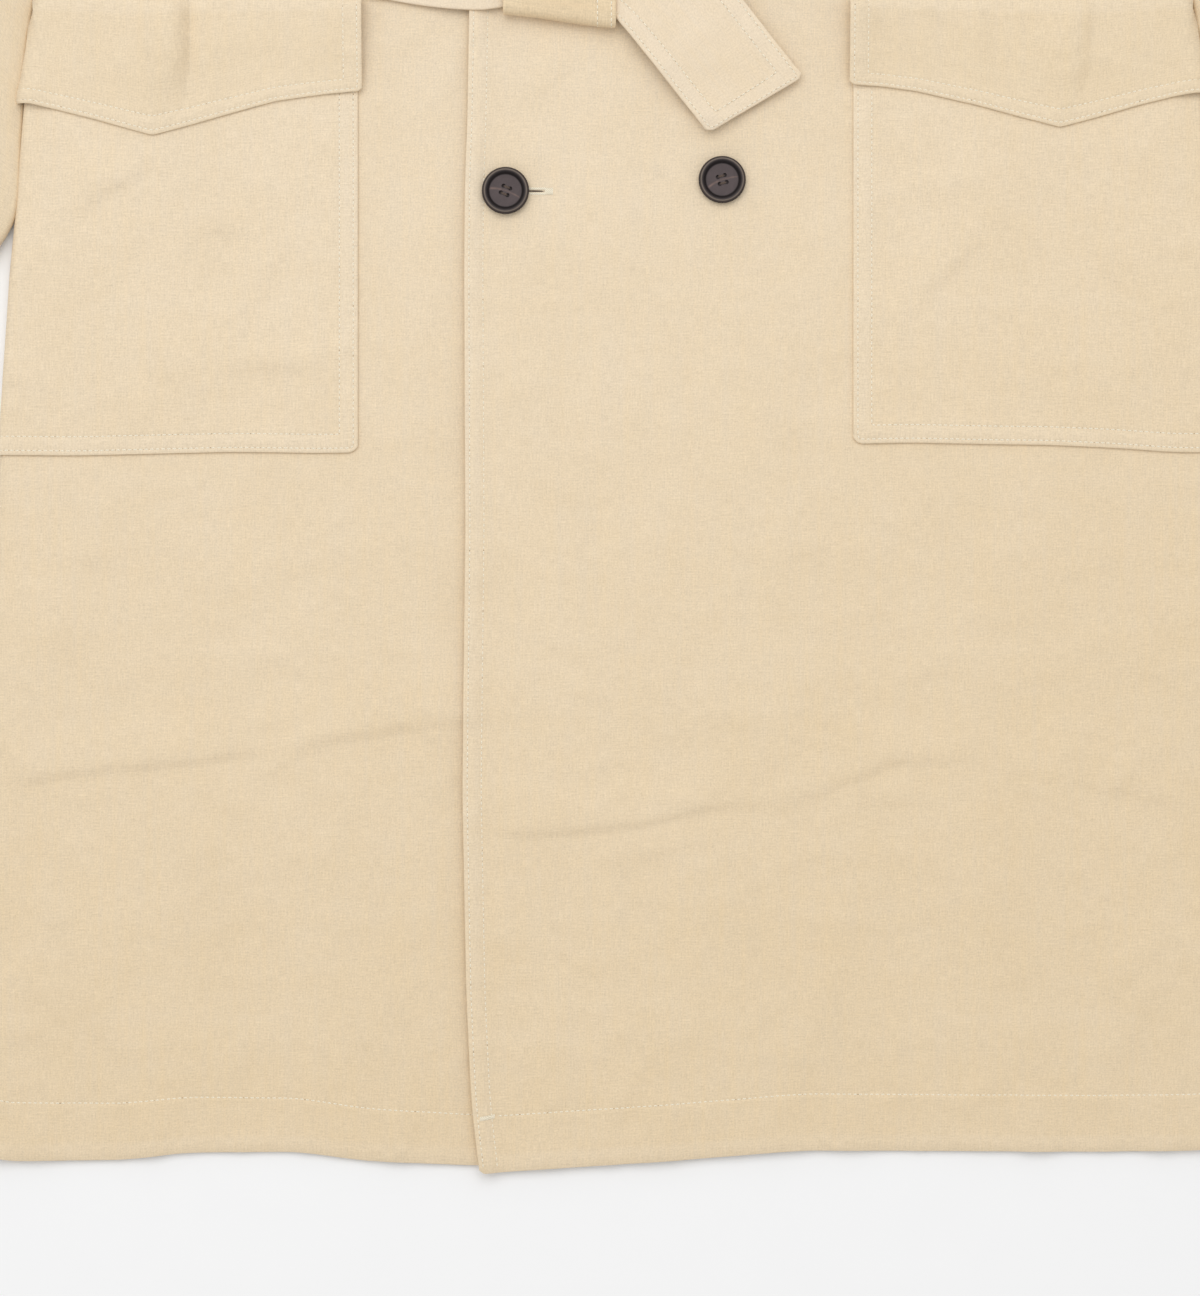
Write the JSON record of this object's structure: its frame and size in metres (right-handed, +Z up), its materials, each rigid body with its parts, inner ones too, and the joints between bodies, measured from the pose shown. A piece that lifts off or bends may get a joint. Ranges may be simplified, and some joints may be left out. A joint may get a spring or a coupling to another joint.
{
  "type": "trench coat",
  "caption": "Double-breasted belted trench coat, buttoned and laid flat on its back, with flapped patch pockets that wrap round the sides.",
  "frame": {"origin": "centre of the coat's outline, on the surface that its underside lies on", "axes": "+X across the coat to the wearer's left, +Y up the coat from hem to collar, +Z up off the surface"},
  "size_m": [1.011, 1.1321, 0.0266],
  "materials": {
    "cloth": "matte cotton twill, beige",
    "button": "satin horn-look resin, dark brown"
  },
  "bodies": {
    "root": {"back": "cloth", "front_right": "cloth", "front_left": "cloth", "lapel_right": "cloth", "lapel_left": "cloth", "collar": "cloth", "sleeve_right": "cloth", "sleeve_left": "cloth", "pocket_right": "cloth", "pocket_left": "cloth", "pocket_flap_right": "cloth", "pocket_flap_left": "cloth", "belt_waist": "cloth", "belt_knot": "cloth", "belt_tail_lower": "cloth", "belt_tail_upper": "cloth", "button_low_right": "button", "button_low_left": "button", "button_middle_right": "button", "button_middle_left": "button", "button_top_right": "button", "button_top_left": "button"}
  },
  "joints": []
}
